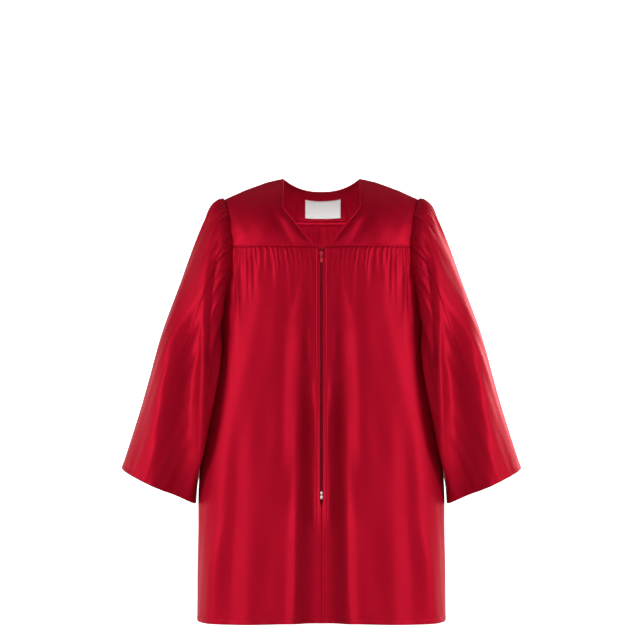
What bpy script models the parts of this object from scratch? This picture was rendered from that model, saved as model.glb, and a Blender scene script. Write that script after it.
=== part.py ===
"""A child's satin graduation gown, filled out and hollow, as the real one is cut.

Plain shoulder yokes carry two gathered fronts and a gathered back. Wide bell sleeves are gathered into the
armholes. A zip closes the upper front, and a bare label sits inside the back neck.
The front faces -Y, +Z is up, the wearer's left is +X, and the origin is the middle of the neck opening,
level with the neck ends of the shoulder seams. Lengths are metres.
"""

import math
from collections import namedtuple

import bmesh
import bpy
from mathutils import Matrix, Vector

# Cloth
WALL = 0.0012
SEAM = 0.0003
LABEL_WALL = 0.0010
LABEL_GAP = 0.0009
LABEL_STEPS = 8
LABEL_SIDES = (-0.0335, 0.0397)
LABEL_EDGES = (0.415, 0.855)

# Lengths of the gown, down from the neck ends of the shoulder seams
FRONT_YOKE_SEAM = -0.140
BACK_YOKE_SEAM = -0.092
UNDERARM = -0.316
HEM_CENTRE = -0.900
HEM_LOWEST = -0.906
HEM_SIDE = -0.902
HEM_BACK_DIP = 0.006
HEM_CENTRE_POWER = 8
HEM_SIDE_POWER = 6

# Neck and shoulders
NECK_HALF_WIDTH = 0.078
NECK_BACK_DEPTH = 0.052
NECK_BACK_DROP = 0.025
SHOULDER_X = 0.200
SHOULDER_DROP = 0.043
SHOULDER_POWER = 1.35
NECK_SHARE = 0.42
NECK_POWER = 2.4
SHOULDER_GAP = 0.0007

# Where the yokes' lower corners lie round the body, from the centre line
FRONT_CORNER = math.radians(53.3)
BACK_CORNER = math.radians(58.2)

# How square the body's and the cuff's sections are, and how the yokes round over the shoulder
BODY_POWER = 2.6
CUFF_POWER = 2.5
YOKE_FORWARD_POWER = 1.30
YOKE_DOWN_POWER = 0.85

# Rows lie closer together under the yokes; the front's also lie where the slit changes width
ROW_POWER = 1.35
FRONT_ROWS = (
    -0.150, -0.163, -0.175, -0.205, -0.250, -0.300, -0.345, -0.390, -0.435, -0.480, -0.530, -0.580, -0.633, -0.653,
    -0.668, -0.740, -0.825,
)
YOKE_ROWS = [step / 7 for step in range(8)]

# How much of a fold's length its rise and its end take up
FOLD_SWELL = 0.35
FOLD_SETTLE = 0.20

# Gathers: how many, and how deep they stand at the seam and a little below it
FRONT_GATHERS = 8
BACK_GATHERS = 22
SLEEVE_GATHERS = 26
GATHER_AT_SEAM = 0.0007
GATHER_DEPTH = 0.0026
BODY_GATHER_PEAK = 0.035
BODY_GATHER_REACH = 0.170
SLEEVE_GATHER_PEAK = 0.10
SLEEVE_GATHER_REACH = 0.34
PLAIN_BESIDE_ZIP = 0.12

# Sleeves
SLEEVE_SEAM_LIFT = 0.0018
SLEEVE_CLEAR = 0.0060
SLEEVE_CLEAR_REACH = 0.16
CLEAR_TOP = -0.120
CLEAR_SPAN = 0.05
UNDERARM_SHARE = 0.40
SLEEVE_PLAIN_SHARE = 0.42
SLEEVE_PLAIN_FADE = 0.05
SLEEVE_MIDDLE = 0.25
CAP_SHARE = 0.36
YOKE_SHARE = 0.38
CUFF_OUTER = Vector((0.408, 0.0, -0.595))
CUFF_INNER = Vector((0.257, 0.0, -0.664))
CUFF_HALF_DEPTH = 0.088
CUFF_CORNER_LIFT = 0.004
CUFF_CORNER_POWER = 10

# Zip
ZIP_TOP = -0.1425
TAPE_END = -0.6530
ZIP_INSET = 0.0018
TEETH_WIDTH = 0.0020
TEETH_WALL = 0.0020
TAPE_WALL = 0.0008
TAPE_WIDTH = 0.0110
TAPE_START = 0.0002
TEETH_START = -0.0026
SLIDER_TOP = -0.1500
SLIDER_HEIGHT = 0.0100
SLIDER_WIDTH = 0.0070
SLIDER_SLOT = 0.0034
PLATE = 0.0011
BRIDGE_WIDTH = 0.0012
BRIDGE_REACH = 0.0030
BRIDGE_BAR = 0.0010
BRIDGE_HEIGHT = 0.0070
POST_WIDTH = 0.0016
POST_HEIGHT = 0.0020
POST_DROP = 0.0002
TAB_BAR_DROP = 0.0011
TAB_WIDTH = 0.0052
TAB_LENGTH = 0.0165
TAB_WALL = 0.0010
TAB_WINDOW_WIDTH = 0.0026
TAB_WINDOW_LENGTH = 0.0054
TAB_LEAN = math.radians(7.0)
STOP_HALF_WIDTH = 0.0024
STOP_TOP = -0.6335
STOP_LOW = -0.6510
STOP_HALF_DEPTH = 0.0015

# Sections of the body, top to bottom
Section = namedtuple("Section", "height half_width front back")
BODY = (
    Section(-0.090, 0.207, 0.098, 0.093),
    Section(-0.140, 0.210, 0.104, 0.100),
    Section(-0.200, 0.211, 0.108, 0.107),
    Section(-0.320, 0.215, 0.115, 0.121),
    Section(-0.450, 0.234, 0.124, 0.136),
    Section(-0.560, 0.246, 0.130, 0.145),
    Section(-0.660, 0.252, 0.134, 0.150),
    Section(-0.920, 0.253, 0.142, 0.158),
)

# Half openings by height: the V neck down to the yoke seam, the slit that the zip closes, the armhole's edge
Edge = namedtuple("Edge", "height x")
V_NECK = (
    Edge(-0.140, 0.0115),
    Edge(-0.100, 0.0435),
    Edge(-0.063, 0.0731),
    Edge(-0.054, 0.0773),
    Edge(0.0, 0.0780),
)
ZIP_EDGE = (
    Edge(-0.930, 0.00030),
    Edge(-0.668, 0.00030),
    Edge(-0.653, 0.0028),
    Edge(-0.175, 0.0028),
    Edge(-0.163, 0.0047),
    Edge(-0.150, 0.0054),
    Edge(-0.140, 0.0115),
)
YOKE_ARM_EDGE = (Edge(-0.140, 0.1812), Edge(-0.082, 0.1870), Edge(-0.043, 0.2000))

# Largest folds: where each starts and ends in the front view, how far it spreads towards the centre line and
# away from it, and how far it stands out
Fold = namedtuple("Fold", "side top_x top_z low_x low_z inward outward rise")
BODY_FOLDS = (
    Fold("front", 0.030, -0.300, 0.016, -0.700, 0.030, 0.027, -0.0080),
    Fold("front", 0.034, -0.170, 0.058, -0.620, 0.014, 0.020, 0.0050),
    Fold("front", 0.080, -0.200, 0.084, -0.640, 0.018, 0.020, -0.0035),
    Fold("front", 0.022, -0.640, 0.020, -0.990, 0.020, 0.020, -0.0060),
    Fold("front", 0.050, -0.600, 0.054, -0.990, 0.018, 0.020, 0.0050),
    Fold("front", 0.110, -0.260, 0.120, -0.990, 0.030, 0.030, -0.0040),
    Fold("front", 0.165, -0.420, 0.187, -0.990, 0.028, 0.020, -0.0060),
    Fold("front", 0.208, -0.670, 0.236, -0.990, 0.020, 0.020, 0.0060),
    Fold("back", 0.000, -0.150, 0.000, -0.990, 0.026, 0.026, -0.0060),
    Fold("back", 0.055, -0.180, 0.064, -0.990, 0.028, 0.026, 0.0070),
    Fold("back", 0.110, -0.250, 0.128, -0.990, 0.024, 0.024, -0.0060),
    Fold("back", 0.160, -0.360, 0.184, -0.990, 0.026, 0.022, 0.0070),
    Fold("back", 0.200, -0.560, 0.228, -0.990, 0.018, 0.018, -0.0050),
)
SLEEVE_FOLDS = (
    Fold("front", 0.208, -0.075, 0.240, -0.400, 0.013, 0.013, -0.0080),
    Fold("front", 0.259, -0.130, 0.306, -0.800, 0.024, 0.024, -0.0085),
    Fold("front", 0.232, -0.240, 0.262, -0.800, 0.016, 0.016, 0.0110),
    Fold("front", 0.290, -0.180, 0.378, -0.800, 0.022, 0.022, 0.0110),
    Fold("back", 0.212, -0.085, 0.246, -0.420, 0.015, 0.015, -0.0080),
    Fold("back", 0.270, -0.160, 0.318, -0.800, 0.026, 0.026, -0.0085),
    Fold("back", 0.236, -0.260, 0.272, -0.800, 0.018, 0.018, 0.0100),
    Fold("back", 0.302, -0.240, 0.372, -0.800, 0.024, 0.024, 0.0100),
)

# How the sleeve leaves the armhole and reaches the cuff, by its share of the way round the armhole
Path = namedtuple("Path", "share out_x out_y out_z cuff_x cuff_y cuff_z")
SLEEVE_PATHS = (
    Path(0.00, 0.045, 0.000, 0.000, 0.108, 0.000, -0.333),
    Path(0.12, 0.044, -0.024, -0.010, 0.100, 0.006, -0.310),
    Path(0.25, 0.038, -0.038, -0.035, 0.075, 0.012, -0.260),
    Path(0.34, 0.004, -0.056, -0.066, 0.044, 0.030, -0.180),
    Path(0.40, -0.031, -0.079, -0.055, 0.026, 0.036, -0.110),
    Path(0.45, 0.002, -0.018, -0.100, 0.014, 0.018, -0.130),
    Path(0.50, 0.008, 0.000, -0.110, 0.012, 0.000, -0.150),
)

# A step short enough to read a surface's slope by, and how often a range is halved to find a place in it
STEP = 0.001
HALVINGS = 30

# Colour, roughness and metallic value of each finish
Finish = namedtuple("Finish", "colour roughness metallic")
FINISHES = {
    "satin": Finish((0.37, 0.003, 0.014), 0.38, 0.0),
    "label": Finish((0.85, 0.85, 0.84), 0.70, 0.0),
    "tape": Finish((0.050, 0.001, 0.004), 0.80, 0.0),
    "teeth": Finish((0.060, 0.002, 0.006), 0.45, 0.0),
    "slider": Finish((0.42, 0.010, 0.020), 0.35, 0.0),
    "stop": Finish((0.62, 0.62, 0.64), 0.30, 1.0),
}


def ease(share):
    """A smooth step from 0 to 1."""
    share = min(1.0, max(0.0, share))
    return share * share * (3.0 - 2.0 * share)


def read(rows, key, column, at):
    """The value of a table's column at a place between its rows, on a smooth curve through them."""
    keys = [getattr(row, key) for row in rows]
    values = [getattr(row, column) for row in rows]
    if keys[0] > keys[-1]:
        keys.reverse()
        values.reverse()
    at = min(keys[-1], max(keys[0], at))
    row = max(i for i in range(len(keys) - 1) if keys[i] <= at)
    steps = [(values[i + 1] - values[i]) / (keys[i + 1] - keys[i]) for i in range(len(keys) - 1)]

    def slope(i):
        if i == 0 or i == len(steps):
            return steps[min(i, len(steps) - 1)]
        before, after = steps[i - 1], steps[i]
        return 0.0 if before * after <= 0.0 else 2.0 * before * after / (before + after)

    span = keys[row + 1] - keys[row]
    t = (at - keys[row]) / span
    rise_start = (1 + 2 * t) * (1 - t) ** 2 * values[row] + t * (1 - t) ** 2 * span * slope(row)
    rise_end = t * t * (3 - 2 * t) * values[row + 1] - t * t * (1 - t) * span * slope(row + 1)
    return rise_start + rise_end


def squareness(turn, power):
    """How far a squared-off oval stands outside a plain one, at this turn."""
    return (abs(math.sin(turn)) ** power + abs(math.cos(turn)) ** power) ** (-1.0 / power)


def fold_rise(folds, side, x, z):
    """How far the large folds lift the cloth at this place in the front view."""
    total = 0.0
    for fold in folds:
        if fold.side != side or not fold.low_z < z < fold.top_z:
            continue
        share = (z - fold.top_z) / (fold.low_z - fold.top_z)
        beside = abs(x) - fold.top_x - (fold.low_x - fold.top_x) * share
        spread = fold.inward if beside < 0.0 else fold.outward
        strength = ease(share / FOLD_SWELL) * ease((1.0 - share) / FOLD_SETTLE)
        total += fold.rise * strength * math.exp(-((beside / spread) ** 2))
    return total


def body_point(turn, height, out=0.0):
    """A point on the body's cloth. The turn is 0 at centre front, and grows to the wearer's left."""
    width = read(BODY, "height", "half_width", height)
    ahead = math.cos(turn) >= 0.0
    depth = read(BODY, "height", "front" if ahead else "back", height)
    reach = squareness(turn, BODY_POWER)
    x = width * math.sin(turn) * reach
    y = -depth * math.cos(turn) * reach
    normal = Vector(
        (
            math.copysign(abs(x / width) ** (BODY_POWER - 1.0) / width, x),
            math.copysign(abs(y / depth) ** (BODY_POWER - 1.0) / depth, y),
            0.0,
        )
    ).normalized()
    out += fold_rise(BODY_FOLDS, "front" if ahead else "back", x, height)
    return Vector((x, y, height)) + normal * out


def gather(phase, drop, peak, reach):
    """How far a gather stands out: nothing between gathers, growing below the seam, then fading."""
    if drop < peak:
        depth = GATHER_AT_SEAM + (GATHER_DEPTH - GATHER_AT_SEAM) * ease(drop / peak)
    else:
        depth = GATHER_DEPTH * (1.0 - ease((drop - peak) / (reach - peak)))
    return depth * 0.5 * (1.0 - math.cos(2.0 * math.pi * phase))


def hem_height(turn):
    """The hem dips a little between centre front and side."""
    centre = math.cos(turn) ** HEM_CENTRE_POWER * (HEM_CENTRE - HEM_LOWEST)
    side = math.sin(turn) ** HEM_SIDE_POWER * (HEM_SIDE - HEM_LOWEST)
    return HEM_LOWEST + centre + side


def panel_top(u, corner, yoke_seam):
    """The turn and height of a panel's upper edge: 0 to 1 under the yoke, 1 to 2 round the armhole."""
    if u <= 1.0:
        return corner * u, yoke_seam
    swing = (u - 1.0) * math.pi / 2.0
    turn = corner + (math.pi / 2.0 - corner) * (1.0 - math.cos(swing))
    return turn, yoke_seam + (UNDERARM - yoke_seam) * math.sin(swing)


def front_row(height):
    """How far down the front a height at the zip lies, as front_panel's v."""
    top = FRONT_YOKE_SEAM - SEAM
    return ((top - height) / (top - HEM_CENTRE)) ** (1.0 / ROW_POWER)


def front_panel(u, v):
    """Half the front, from the zip (u = 0) past the yoke's corner (1) to the side seam (2)."""
    turn, top = panel_top(u, FRONT_CORNER, FRONT_YOKE_SEAM - SEAM)
    height = top + (hem_height(turn) - top) * v**ROW_POWER
    start = read(ZIP_EDGE, "height", "x", height) / read(BODY, "height", "half_width", height)
    end = math.pi / 2.0 - 0.5 * SEAM / read(BODY, "height", "front", height)
    ripple = 0.0
    if PLAIN_BESIDE_ZIP < u < 1.0:
        ripple = gather(FRONT_GATHERS * u, top - height, BODY_GATHER_PEAK, BODY_GATHER_REACH)
    return body_point(start + (end - start) * turn / (math.pi / 2.0), height, ripple)


def back_panel(u, v):
    """The back, from one side seam (u = -2) past centre back (0) to the other (2)."""
    turn, top = panel_top(abs(u), BACK_CORNER, BACK_YOKE_SEAM - SEAM)
    height = top + (hem_height(math.pi / 2.0) - HEM_BACK_DIP * math.cos(turn) - top) * v**ROW_POWER
    end = math.pi / 2.0 - 0.5 * SEAM / read(BODY, "height", "back", height)
    ripple = 0.0
    if abs(u) < 1.0:
        ripple = gather(BACK_GATHERS / 2.0 * u, top - height, BODY_GATHER_PEAK, BODY_GATHER_REACH)
    point = body_point(math.pi - end * turn / (math.pi / 2.0), height, ripple)
    return Vector((math.copysign(point.x, u), point.y, point.z))


def shoulder_point(share):
    """A point on the shoulder seam, from the neck (0) to the armhole (1)."""
    x = NECK_HALF_WIDTH + (SHOULDER_X - NECK_HALF_WIDTH) * share
    return Vector((x, 0.0, -SHOULDER_DROP * share**SHOULDER_POWER))


def yoke_forward(v):
    return math.sin(v * math.pi / 2.0) ** YOKE_FORWARD_POWER


def yoke_down(v):
    return (1.0 - math.cos(v * math.pi / 2.0)) ** YOKE_DOWN_POWER


def front_yoke(u, v):
    """Half the front yoke, from neck edge (u = 0) to armhole (1) and shoulder (v = 0) to yoke seam (1)."""
    half_width = read(BODY, "height", "half_width", FRONT_YOKE_SEAM)
    first = read(ZIP_EDGE, "height", "x", FRONT_YOKE_SEAM) / half_width
    inner, outer = (body_point(turn, FRONT_YOKE_SEAM) for turn in (first, FRONT_CORNER))
    end = body_point(first + (FRONT_CORNER - first) * u, FRONT_YOKE_SEAM)
    across = (end.x - inner.x) / (outer.x - inner.x)
    start = shoulder_point(across)
    neck_x = read(V_NECK, "height", "x", FRONT_YOKE_SEAM * yoke_down(v))
    arm_z = -SHOULDER_DROP + (FRONT_YOKE_SEAM + SHOULDER_DROP) * yoke_down(v)
    arm_x = read(YOKE_ARM_EDGE, "height", "x", arm_z)
    return Vector(
        (
            neck_x + (arm_x - neck_x) * across,
            end.y * yoke_forward(v) - 0.5 * SHOULDER_GAP * (1.0 - v),
            start.z + (end.z - start.z) * yoke_down(v),
        )
    )


def back_yoke(u, v):
    """The back yoke, from one armhole (u = -1) past centre back (0) to the other (1), neck to yoke seam."""
    share = abs(u)
    end = body_point(math.pi - BACK_CORNER * share, BACK_YOKE_SEAM)
    if share < NECK_SHARE:
        swing = share / NECK_SHARE * math.pi / 2.0
        x = NECK_HALF_WIDTH * math.sin(swing)
        drop = NECK_BACK_DROP * (1.0 - math.sin(swing) ** NECK_POWER)
        start = Vector((x, NECK_BACK_DEPTH * math.cos(swing), -drop))
    else:
        start = shoulder_point((share - NECK_SHARE) / (1.0 - NECK_SHARE))
    return Vector(
        (
            math.copysign(start.x + (end.x - start.x) * v, u),
            start.y + (end.y - start.y) * yoke_forward(v) + 0.5 * SHOULDER_GAP * (1.0 - v),
            start.z + (end.z - start.z) * yoke_down(v),
        )
    )


def facing(place, u, v, step=STEP):
    """The direction square to a piece at one of its points."""
    across = place(u + step, v) - place(u - step, v)
    down = place(u, min(1.0, v + step)) - place(u, max(0.0, v - step))
    return down.cross(across).normalized()


def armhole(share):
    """A point on the wearer's left armhole and the way its cloth faces: shoulder, front, underarm, back."""
    ahead = share <= 0.5
    half = share / 0.5 if ahead else (1.0 - share) / 0.5
    yoke = front_yoke if ahead else back_yoke
    if half < YOKE_SHARE:
        v = half / YOKE_SHARE
        normal = facing(yoke, 1.0 - STEP, v)
        point = yoke(1.0, v)
    else:
        u = 1.0 + (half - YOKE_SHARE) / (1.0 - YOKE_SHARE)
        panel = front_panel if ahead else back_panel
        point = panel(u, 0.0)
        normal = facing(panel, min(u, 2.0 - STEP), 0.0)
    if normal.x < 0.0:
        normal.negate()
    return point, normal


def cuff_point(share):
    """A point on the sleeve's lower edge, from its outer end (0) past the front, inner end (0.5) and back."""
    turn = 2.0 * math.pi * share
    reach = squareness(turn, CUFF_POWER)
    centre = (CUFF_OUTER + CUFF_INNER) / 2.0
    out = (CUFF_OUTER - CUFF_INNER) / 2.0
    point = centre + out * math.cos(turn) * reach
    point.y -= CUFF_HALF_DEPTH * math.sin(turn) * reach
    point.z += CUFF_CORNER_LIFT * max(0.0, math.cos(turn)) ** CUFF_CORNER_POWER
    return point


def clear_of_body(point, margin):
    """Moves a sleeve point straight out from the body's axis until it is clear of the body's cloth."""
    width = read(BODY, "height", "half_width", point.z) + margin
    depth = read(BODY, "height", "front" if point.y < 0.0 else "back", point.z) + margin
    inside = (abs(point.x) / width) ** BODY_POWER + (abs(point.y) / depth) ** BODY_POWER
    if inside >= 1.0:
        return point
    push = inside ** (-1.0 / BODY_POWER)
    push = 1.0 + (push - 1.0) * ease((CLEAR_TOP - point.z) / CLEAR_SPAN)
    return Vector((point.x * push, point.y * push, point.z))


def sleeve_path(share, along):
    """The sleeve's smooth surface, from the armhole (along = 0) to the cuff (1)."""
    half = share if share <= 0.5 else 1.0 - share
    side = 1.0 if share <= 0.5 else -1.0
    seam, normal = armhole(share)
    start = seam + normal * SLEEVE_SEAM_LIFT
    end = cuff_point(share)
    out = Vector([read(SLEEVE_PATHS, "share", column, half) for column in ("out_x", "out_y", "out_z")])
    cuff = Vector([read(SLEEVE_PATHS, "share", column, half) for column in ("cuff_x", "cuff_y", "cuff_z")])
    out.y *= side
    cuff.y *= side
    rest = 1.0 - along
    point = start * rest**3 + (start + out) * 3.0 * rest**2 * along
    point += (end - cuff) * 3.0 * rest * along**2 + end * along**3
    margin = SLEEVE_SEAM_LIFT + (SLEEVE_CLEAR - SLEEVE_SEAM_LIFT) * ease(along / SLEEVE_CLEAR_REACH)
    return clear_of_body(point, margin)


def sleeve(share, along):
    """The sleeve's cloth with its gathers and largest folds."""
    point = sleeve_path(share, along)
    nearest = min(share, 1.0 - share)
    if nearest > UNDERARM_SHARE:
        return point
    around = sleeve_path(share + STEP, along) - sleeve_path(max(0.0, share - STEP), along)
    down = sleeve_path(share, min(1.0, along + STEP)) - sleeve_path(share, max(0.0, along - STEP))
    normal = around.cross(down).normalized()
    if normal.dot(point - Vector((SLEEVE_MIDDLE, 0.0, point.z))) < 0.0:
        normal.negate()
    out = fold_rise(SLEEVE_FOLDS, "front" if share < 0.5 else "back", point.x, point.z)
    if nearest < CAP_SHARE:
        phase = SLEEVE_GATHERS / 2.0 * nearest / CAP_SHARE
        out += gather(phase, along, SLEEVE_GATHER_PEAK, SLEEVE_GATHER_REACH)
    out *= ease((SLEEVE_PLAIN_SHARE - nearest) / SLEEVE_PLAIN_FADE)
    return point + normal * out


def new_material(name):
    """A plain finish for one piece."""
    finish = FINISHES[name]
    material = bpy.data.materials.new(name)
    material.use_nodes = True
    shader = material.node_tree.nodes["Principled BSDF"]
    shader.inputs["Base Color"].default_value = (*finish.colour, 1.0)
    shader.inputs["Roughness"].default_value = finish.roughness
    shader.inputs["Metallic"].default_value = finish.metallic
    return material


def add_object(name, mesh, material, collection):
    """Puts a mesh in the gown's collection as one named piece."""
    piece = bpy.data.objects.new(name, mesh)
    piece.data.materials.append(material)
    collection.objects.link(piece)
    return piece


def cloth(name, place, across, down, wall, material, collection, mirror=False, closed=False):
    """A wall of cloth on a grid of points, place(u, v) for each u in across and v in down."""
    mesh = bpy.data.meshes.new(name)
    grid = bmesh.new()
    rows = []
    for v in down:
        row = []
        for u in across:
            point = place(u, v)
            if mirror:
                point = Vector((-point.x, point.y, point.z))
            row.append(grid.verts.new(point))
        rows.append(row)
    columns = len(across)
    for upper, lower in zip(rows, rows[1:]):
        for i in range(columns if closed else columns - 1):
            j = (i + 1) % columns
            corners = [upper[i], lower[i], lower[j], upper[j]]
            grid.faces.new(corners[::-1] if mirror else corners)
    grid.to_mesh(mesh)
    grid.free()
    mesh.shade_smooth()
    piece = add_object(name, mesh, material, collection)
    shell = piece.modifiers.new("wall", "SOLIDIFY")
    shell.thickness = wall
    shell.offset = 0.0
    shell.use_even_offset = False
    return piece


def block(name, low, high, collection, material=None):
    """A box between two corners, from Blender's cube, with its size applied."""
    size = Vector(high) - Vector(low)
    bpy.ops.mesh.primitive_cube_add(size=1.0)
    piece = bpy.context.object
    piece.name = name
    for holder in list(piece.users_collection):
        holder.objects.unlink(piece)
    collection.objects.link(piece)
    centre = (Vector(high) + Vector(low)) / 2.0
    piece.data.transform(Matrix.Translation(centre) @ Matrix.Diagonal((*size, 1.0)))
    if material:
        piece.data.materials.append(material)
    return piece


def join_with(piece, tool, operation):
    """Adds or cuts one shape with another, which stays as a hidden guide."""
    change = piece.modifiers.new(operation.lower(), "BOOLEAN")
    change.operation = operation
    change.solver = "EXACT"
    change.object = tool
    tool.hide_render = True
    tool.display_type = "WIRE"


def evenly(low, high, steps):
    return [low + (high - low) * i / steps for i in range(steps + 1)]


def yoke_columns():
    """The back yoke's columns, closer together round the neck."""
    half = evenly(0.0, NECK_SHARE, 6) + evenly(NECK_SHARE, 1.0, 6)[1:]
    return [-u for u in half[:0:-1]] + half


def add_body(collection, satin):
    """The yokes, the two fronts and the back."""
    gathered = evenly(0.0, 1.0, 2 * FRONT_GATHERS)
    front_columns = gathered + evenly(1.0, 2.0, 7)[1:]
    front_rows = [0.0] + [front_row(height) for height in FRONT_ROWS] + [1.0]
    half_back = evenly(0.0, 1.0, BACK_GATHERS) + evenly(1.0, 2.0, 7)[1:]
    back_columns = [-u for u in half_back[:0:-1]] + half_back
    for side, mirror in (("left", False), ("right", True)):
        cloth(f"yoke_front_{side}", front_yoke, evenly(0.0, 1.0, 10), evenly(0.0, 1.0, 9), WALL, satin,
              collection, mirror)
        cloth(f"front_{side}", front_panel, front_columns, front_rows, WALL, satin, collection, mirror)
    cloth("yoke_back", back_yoke, yoke_columns(), YOKE_ROWS, WALL, satin, collection)
    cloth("back", back_panel, back_columns, evenly(0.0, 1.0, 12), WALL, satin, collection)


def add_sleeves(collection, satin):
    """The two sleeves, each one closed ring of columns from armhole to cuff."""
    cap = evenly(0.0, CAP_SHARE, SLEEVE_GATHERS)
    under = evenly(CAP_SHARE, 1.0 - CAP_SHARE, 12)
    columns = cap[:-1] + under + [1.0 - share for share in cap[-2:0:-1]]
    down = [step**1.2 for step in evenly(0.0, 1.0, 13)]
    for side, mirror in (("left", False), ("right", True)):
        cloth(f"sleeve_{side}", sleeve, columns, down, WALL, satin, collection, mirror, closed=True)


def yoke_column(x, v):
    """The back yoke's u at this distance to one side of the centre line, this far down it."""
    low, high = 0.0, NECK_SHARE
    for _ in range(HALVINGS):
        middle = (low + high) / 2.0
        if back_yoke(middle, v).x < abs(x):
            low = middle
        else:
            high = middle
    return math.copysign(low, x)


def add_label(collection, material):
    """The label inside the back neck, a rectangle on the yoke's points moved inward."""
    inset = (WALL + LABEL_WALL) / 2.0 + LABEL_GAP

    def place(x, v):
        u = yoke_column(x, v)
        turn = facing(back_yoke, u, v)
        if turn.y < 0.0:
            turn.negate()
        return back_yoke(u, v) - turn * inset

    across = evenly(*LABEL_SIDES, LABEL_STEPS)
    down = [LABEL_EDGES[0]] + [v for v in YOKE_ROWS if LABEL_EDGES[0] < v < LABEL_EDGES[1]] + [LABEL_EDGES[1]]
    cloth("label", place, across, down, LABEL_WALL, material, collection)


def tape_place(beside, height):
    """A point in a tape, this far from the slit's edge along the front's own cloth, and behind it."""
    v = front_row(height)
    edge = front_panel(0.0, v)
    across = (front_panel(0.5 / FRONT_GATHERS, v) - edge).normalized()
    return edge + across * beside + Vector((0.0, ZIP_INSET, 0.0))


def teeth_place(beside, height):
    """A point in the row of teeth, this far to the side of the slit's edge, and behind it."""
    return front_panel(0.0, front_row(height)) + Vector((beside, ZIP_INSET, 0.0))


def zip_middle(height):
    """How far forward the zip lies on the centre line."""
    return teeth_place(0.0, height).y


def add_zip(collection, cutters, tape, teeth, red, metal):
    """The tapes and teeth behind the slit, the slider, its pull tab and the lower stop."""
    tape_down = [ZIP_TOP] + [height for height in FRONT_ROWS if height >= TAPE_END]
    down = tape_down[:-1]
    for side, mirror in (("left", False), ("right", True)):
        cloth(f"zip_teeth_{side}", teeth_place, (TEETH_START, TEETH_START + TEETH_WIDTH), down, TEETH_WALL,
              teeth, collection, mirror)
        cloth(f"zip_tape_{side}", tape_place, evenly(TAPE_START, TAPE_START + TAPE_WIDTH, 2), tape_down,
              TAPE_WALL, tape, collection, mirror)
    middle = SLIDER_TOP - SLIDER_HEIGHT / 2.0
    chain = zip_middle(middle)
    front = chain - SLIDER_SLOT / 2.0
    half = SLIDER_WIDTH / 2.0
    low = SLIDER_TOP - SLIDER_HEIGHT
    slider = block("zip_slider", (-half, front - PLATE, low), (half, front, SLIDER_TOP), collection, red)
    behind = chain + SLIDER_SLOT / 2.0
    overlap = PLATE / 2.0
    join_with(slider, block("slider_back", (-half, behind, low), (half, behind + PLATE, SLIDER_TOP), cutters),
              "UNION")
    post_top = SLIDER_TOP - POST_DROP
    post = block("slider_post", (-POST_WIDTH / 2.0, front - overlap, post_top - POST_HEIGHT),
                 (POST_WIDTH / 2.0, behind + overlap, post_top), cutters)
    join_with(slider, post, "UNION")
    bridge_low = middle - BRIDGE_HEIGHT / 2.0
    bridge_front = front - PLATE - BRIDGE_REACH
    bridge = block("slider_bridge", (-BRIDGE_WIDTH / 2.0, bridge_front, bridge_low),
                   (BRIDGE_WIDTH / 2.0, front - overlap, bridge_low + BRIDGE_HEIGHT), cutters)
    hole = block("slider_hole", (-BRIDGE_WIDTH, bridge_front + BRIDGE_BAR, bridge_low + BRIDGE_BAR),
                 (BRIDGE_WIDTH, front - PLATE, bridge_low + BRIDGE_HEIGHT - BRIDGE_BAR), cutters)
    join_with(slider, bridge, "UNION")
    join_with(slider, hole, "DIFFERENCE")
    add_pull_tab(front, bridge_low, collection, cutters, red)
    block("zip_bottom_stop", (-STOP_HALF_WIDTH, zip_middle(STOP_LOW) - STOP_HALF_DEPTH, STOP_LOW),
          (STOP_HALF_WIDTH, zip_middle(STOP_LOW) + STOP_HALF_DEPTH, STOP_TOP - SEAM), collection, metal)


def add_pull_tab(front, bridge_low, collection, cutters, red):
    """The tab, hung by the bar over its window on the slider's bridge, with its origin on that bar."""
    bar = TAB_WALL / 2.0
    tab = block("zip_pull_tab", (-TAB_WIDTH / 2.0, -bar, bar - TAB_LENGTH), (TAB_WIDTH / 2.0, bar, bar),
                collection, red)
    window = block("tab_window", (-TAB_WINDOW_WIDTH / 2.0, -TAB_WALL, -bar - TAB_WINDOW_LENGTH),
                   (TAB_WINDOW_WIDTH / 2.0, TAB_WALL, -bar), cutters)
    gap = BRIDGE_REACH - BRIDGE_BAR
    pivot = Vector((0.0, front - PLATE - gap / 2.0, bridge_low + BRIDGE_BAR + TAB_BAR_DROP))
    placed = Matrix.Translation(pivot) @ Matrix.Rotation(-TAB_LEAN, 4, "X")
    tab.matrix_world = placed
    window.matrix_world = placed
    join_with(tab, window, "DIFFERENCE")


def main():
    for old in list(bpy.data.objects):
        bpy.data.objects.remove(old)
    gown = bpy.data.collections.new("graduation_gown")
    cutters = bpy.data.collections.new("cutters")
    bpy.context.scene.collection.children.link(gown)
    bpy.context.scene.collection.children.link(cutters)
    finishes = {name: new_material(name) for name in FINISHES}
    add_body(gown, finishes["satin"])
    add_sleeves(gown, finishes["satin"])
    add_label(gown, finishes["label"])
    add_zip(gown, cutters, finishes["tape"], finishes["teeth"], finishes["slider"], finishes["stop"])


main()
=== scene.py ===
"""Looks of a child's satin graduation gown: cloth, gathers, creases, sewing, zip, label and studio.

The front faces -Y, +Z is up, the wearer's left is +X, and the origin is the middle of the neck opening,
level with the neck ends of the shoulder seams. Lengths are metres.
"""

import math

import bpy
import numpy as np
from mathutils import Matrix, Vector


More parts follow.
